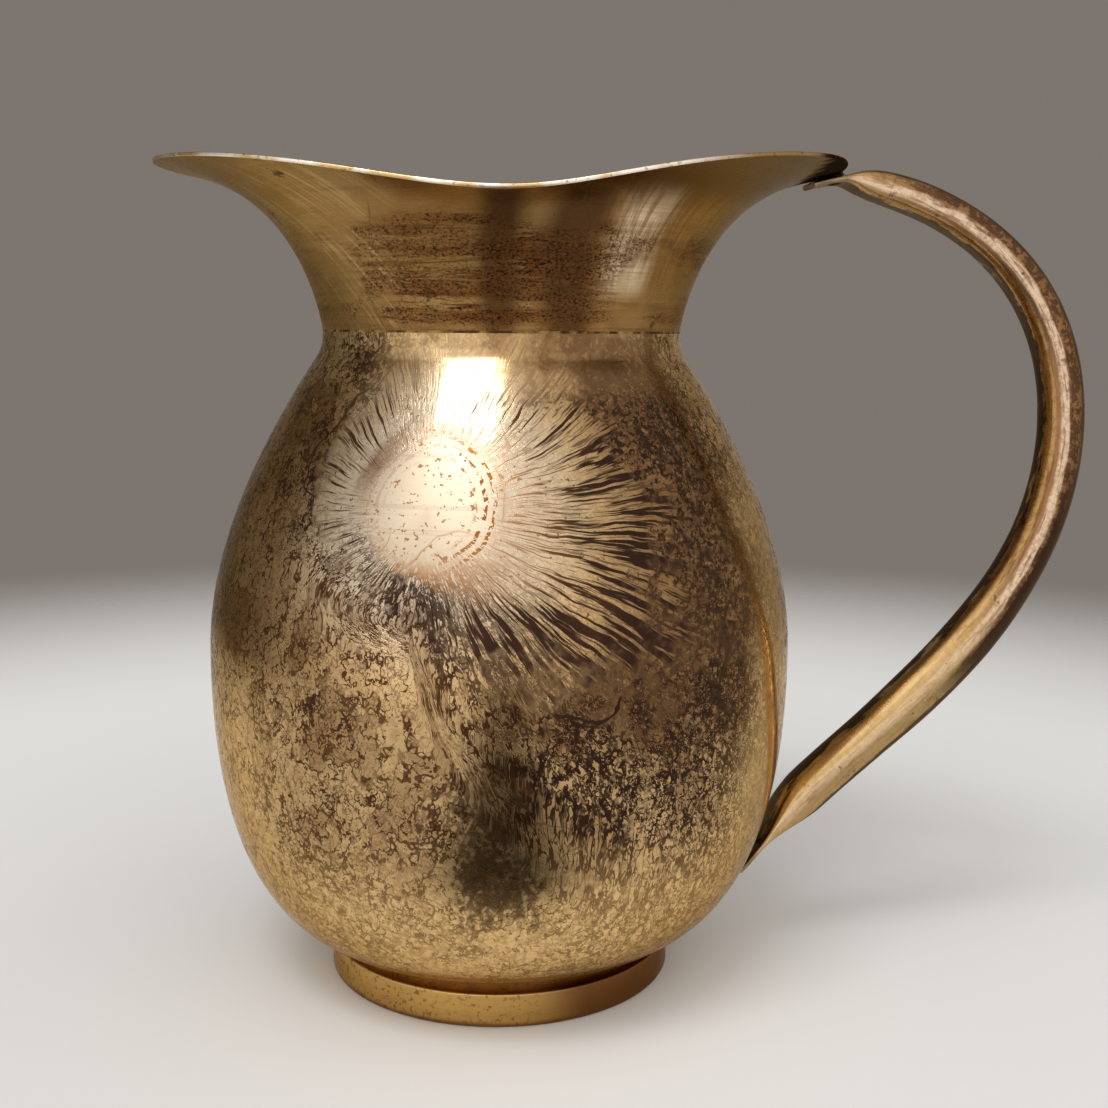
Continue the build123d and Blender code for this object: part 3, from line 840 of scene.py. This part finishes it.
def handle_piece():
    """Hollow tube pinched flat at both ends, swept along its centreline."""
    spans = [
        [(83.5, 215.4), (91.0, 217.5), (94.0, 217.3), (97.5, 216.6)],
        [(97.5, 216.6), (126.8, 211.3), (156.0, 191.5), (156.0, 151.0)],
        [(156.0, 151.0), (156.0, 100.2), (110.0, 69.3), (85.9, 45.9)],
        [(85.9, 45.9), (80.3, 40.5), (73.8, 35.0), (67.0, 25.4)],
    ]
    line = without_repeats(np.vstack([bezier(span, 160) for span in spans]), 1e-4)
    length = np.concatenate([[0], np.cumsum(np.linalg.norm(np.diff(line, axis=0), axis=1))])
    stations, points = 330, 72
    at = np.linspace(0, length[-1], stations)
    centre = np.stack([np.interp(at, length, line[:, 0]), np.interp(at, length, line[:, 1])], axis=1)
    along = np.gradient(centre, axis=0)
    along /= np.linalg.norm(along, axis=1)[:, None]
    known = [row[0] for row in HANDLE_SECTIONS]
    thick = smooth_through(at, known, [row[1] for row in HANDLE_SECTIONS])
    wide = smooth_through(at, known, [row[2] for row in HANDLE_SECTIONS])
    angles = 2 * math.pi * (np.arange(points) + 0.5) / points
    vertices = []
    for (px, pz), (tx, tz), t, w in zip(centre, along, thick, wide):
        power = 2 / (2 + 3 * max(0.0, 1 - t / w))
        across = np.sign(np.cos(angles)) * np.abs(np.cos(angles)) ** power * w / 2
        up = np.sign(np.sin(angles)) * np.abs(np.sin(angles)) ** power * t / 2
        vertices += [((px - tz * b) * MM, a * MM, (pz + tx * b) * MM) for a, b in zip(across, up)]
    faces = grid_faces(stations, points, close_rows=False)
    faces.append(tuple(range(points)))
    faces.append(tuple(reversed(range((stations - 1) * points, stations * points))))
    made = mesh_object("handle", vertices, faces)
    places = {"along": np.repeat(at / length[-1], points), "around": np.tile(angles, stations)}
    for name, values in places.items():
        made.data.attributes.new(name, "FLOAT", "POINT").data.foreach_set("value", values.astype(np.float32))
    return made


def lip_lump():
    """Lump of braze over the lip's edge, where the handle's tongue goes under it."""
    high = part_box("handle_lip_braze")[1]
    middle = Vector((89.9 * MM, 0, 217.9 * MM))
    half = Vector((4.0 * MM, high.y, high.z - middle.z))
    mesh = bpy.data.meshes.new("lip_lump")
    shape = bmesh.new()
    bmesh.ops.create_icosphere(shape, subdivisions=5, radius=1.0)
    for vertex in shape.verts:
        p = vertex.co.copy()
        swell = noise.noise(p * 1.6) * 0.22 + noise.noise(p * 4.0) * 0.08
        size = min(1.0, 0.88 + swell)
        vertex.co = Vector((p.x * half.x, p.y * half.y, p.z * half.z)) * size + middle
    shape.to_mesh(mesh)
    shape.free()
    for polygon in mesh.polygons:
        polygon.use_smooth = True
    made = bpy.data.objects.new("lip_lump", mesh)
    bpy.context.scene.collection.objects.link(made)
    return made


inside_metal = inside_brass()
finished(body_piece(), "body_shell", "body_brass", body_brass(), inside_metal)
finished(flare_piece(), "neck_flare", "neck_brass", neck_brass(), inside_metal, lip_edge_brass())
finished(seam_piece(), "neck_braze", "seam_braze", braze("seam_metal", DEEP_GOLD, UMBER, 0.95))
finished(foot_piece(), "foot_ring", "foot_brass", foot_brass())
finished(solder_piece(), "foot_solder", "seam_braze", braze("solder_metal", (0.42, 0.36, 0.27), BROWN, 0.7))
finished(handle_piece(), "handle_tube", "handle_brass", handle_brass())
# Black braze at the handle's joints: partly burnt braze, partly painted shadow under the lip's tip and in the
# crevice behind the lower tab.
soot_and_shadow = braze("burnt_braze_and_shadow", (0.05, 0.03, 0.02), SOOT_AND_SHADOW, 1.0)
finished(lip_lump(), "handle_lip_braze", "dark_braze", soot_and_shadow)
# The braze behind the lower tab is black: burnt braze, and painted shade of the crevice there.
tab_fill = frame["nodes"]["handle_body_braze"]
tab_fill.data.materials.clear()
tab_fill.data.materials.append(soot_and_shadow)


# ---- floor, light and camera ----

def floor():
    made = mesh_object("floor", [(-3, -3, 0), (3, -3, 0), (3, 3, 0), (-3, 3, 0)], [(0, 1, 2, 3)])
    s = Shading("floor")
    shader = s.add("ShaderNodeBsdfDiffuse")
    shader.inputs["Color"].default_value = (0.86, 0.865, 0.87, 1)
    clear = s.add("ShaderNodeBsdfTransparent")
    mixed = s.add("ShaderNodeMixShader")
    x, y, _ = s.parts(s.place)
    away = s.calc("SQRT", s.plus(s.times(x, x), s.times(y, y)))
    s.feed(mixed.inputs[0], s.step(away, 0.30, 0.75))
    s.tree.links.new(shader.outputs[0], mixed.inputs[1])
    s.tree.links.new(clear.outputs[0], mixed.inputs[2])
    output = s.add("ShaderNodeOutputMaterial")
    s.tree.links.new(mixed.outputs[0], output.inputs[0])
    made.data.materials.append(s.material)


def soft_light(name, azimuth, elevation, distance, size, power):
    """An area light aimed at the jug. Azimuth 0 is in front of it, and 90 on the handle's side."""
    target = Vector((0, 0, 0.12))
    a, e = math.radians(azimuth), math.radians(elevation)
    away = Vector((math.sin(a) * math.cos(e), -math.cos(a) * math.cos(e), math.sin(e)))
    data = bpy.data.lights.new(name, "AREA")
    data.shape = "RECTANGLE"
    data.size, data.size_y = size
    data.energy = power
    lamp = bpy.data.objects.new(name, data)
    lamp.location = target + away * distance
    lamp.rotation_mode = "QUATERNION"
    lamp.rotation_quaternion = away.to_track_quat("Z", "Y")
    lamp.visible_camera = False
    bpy.context.scene.collection.objects.link(lamp)
    return lamp


# Brightness of the room that the jug mirrors, by direction: degrees from the front towards the handle
ROOM = (
    (-180, 0.26), (-130, 0.20), (-105, 0.28), (-80, 0.62), (-50, 1.15), (-15, 1.30), (5, 1.15), (30, 0.75),
    (48, 0.16), (76, 0.14), (81, 1.30), (90, 1.25), (97, 0.12), (125, 0.10), (145, 0.24), (180, 0.28),
)


def world():
    """A plain grey backdrop, and for reflections a room bright at the front left and dark at the right."""
    made = bpy.data.worlds.new("studio")
    made.use_nodes = True
    tree = made.node_tree
    tree.nodes.clear()

    def add(kind, **settings):
        node = tree.nodes.new(kind)
        for key, value in settings.items():
            setattr(node, key, value)
        return node

    def backdrop(color):
        shader = add("ShaderNodeBackground")
        if isinstance(color, bpy.types.NodeSocket):
            tree.links.new(color, shader.inputs["Color"])
        else:
            shader.inputs["Color"].default_value = (*color, 1)
        return shader.outputs[0]

    split = add("ShaderNodeSeparateXYZ")
    tree.links.new(add("ShaderNodeTexCoord").outputs["Generated"], split.inputs[0])
    back = add("ShaderNodeMath", operation="MULTIPLY")
    tree.links.new(split.outputs[1], back.inputs[0])
    back.inputs[1].default_value = -1.0
    around = add("ShaderNodeMath", operation="ARCTAN2")
    tree.links.new(split.outputs[0], around.inputs[0])
    tree.links.new(back.outputs[0], around.inputs[1])
    share = add("ShaderNodeMapRange")
    tree.links.new(around.outputs[0], share.inputs[0])
    share.inputs[1].default_value, share.inputs[2].default_value = -math.pi, math.pi
    ramp = add("ShaderNodeValToRGB")
    tree.links.new(share.outputs[0], ramp.inputs[0])
    stops = ramp.color_ramp.elements
    for index, (degrees, light) in enumerate(ROOM):
        stop = stops[index] if index < 2 else stops.new(0.5)
        stop.position = (degrees + 180) / 360
        stop.color = (light, light * 0.97, light * 0.93, 1)
    mixed = add("ShaderNodeMixShader")
    tree.links.new(add("ShaderNodeLightPath").outputs["Is Camera Ray"], mixed.inputs[0])
    tree.links.new(backdrop(ramp.outputs[0]), mixed.inputs[1])
    tree.links.new(backdrop((0.205, 0.180, 0.160)), mixed.inputs[2])
    tree.links.new(mixed.outputs[0], add("ShaderNodeOutputWorld").inputs[0])
    bpy.context.scene.world = made


def dark_card():
    """A soft-edged black card low in front, seen only in reflections, as is done for shiny metal."""
    left, right, near, beyond, height = -0.07, 0.075, -0.086, -0.8, 0.002
    corners = [(left, beyond, height), (right, beyond, height), (right, near, height), (left, near, height)]
    made = mesh_object("dark_card", corners, [(0, 1, 2, 3)])
    s = Shading("dark_card")
    x, y, _ = s.parts(s.place)
    shade = s.band(x, left, left + 0.06, right - 0.06, right)
    shade = s.times(shade, s.inverse(s.step(y, near - 0.03, near)), 0.92)
    shader = s.add("ShaderNodeBsdfDiffuse")
    shader.inputs["Color"].default_value = (0.03, 0.03, 0.03, 1)
    mixed = s.add("ShaderNodeMixShader")
    s.feed(mixed.inputs[0], shade)
    s.tree.links.new(s.add("ShaderNodeBsdfTransparent").outputs[0], mixed.inputs[1])
    s.tree.links.new(shader.outputs[0], mixed.inputs[2])
    s.tree.links.new(mixed.outputs[0], s.add("ShaderNodeOutputMaterial").inputs[0])
    made.data.materials.append(s.material)
    made.visible_camera = made.visible_diffuse = made.visible_shadow = False


def camera():
    """At the height of the shoulder, looking slightly down, with the handle turned a little away."""
    data = bpy.data.cameras.new("camera")
    data.sensor_width = 36
    data.lens = 48.0
    data.shift_y = -0.07
    made = bpy.data.objects.new("camera", data)
    turn = math.radians(-2.65)
    place = Matrix.Rotation(turn, 4, "Z") @ Vector((0.01443, -0.405, 0.17655))
    aim = Matrix.Rotation(turn, 4, "Z") @ Matrix.Rotation(math.radians(90 - 5.736), 4, "X")
    roll = Matrix.Rotation(math.radians(0.372), 4, "Z")
    made.matrix_world = Matrix.Translation(place) @ aim @ roll
    bpy.context.scene.collection.objects.link(made)
    bpy.context.scene.camera = made


floor()
world()
dark_card()
soft_light("window_high", -26, 60, 3.0, (1.30, 0.66), 19.0)
soft_light("window_low", -26, 42, 3.0, (1.85, 1.25), 3.9)
camera()
bpy.context.scene.view_settings.view_transform = "Standard"
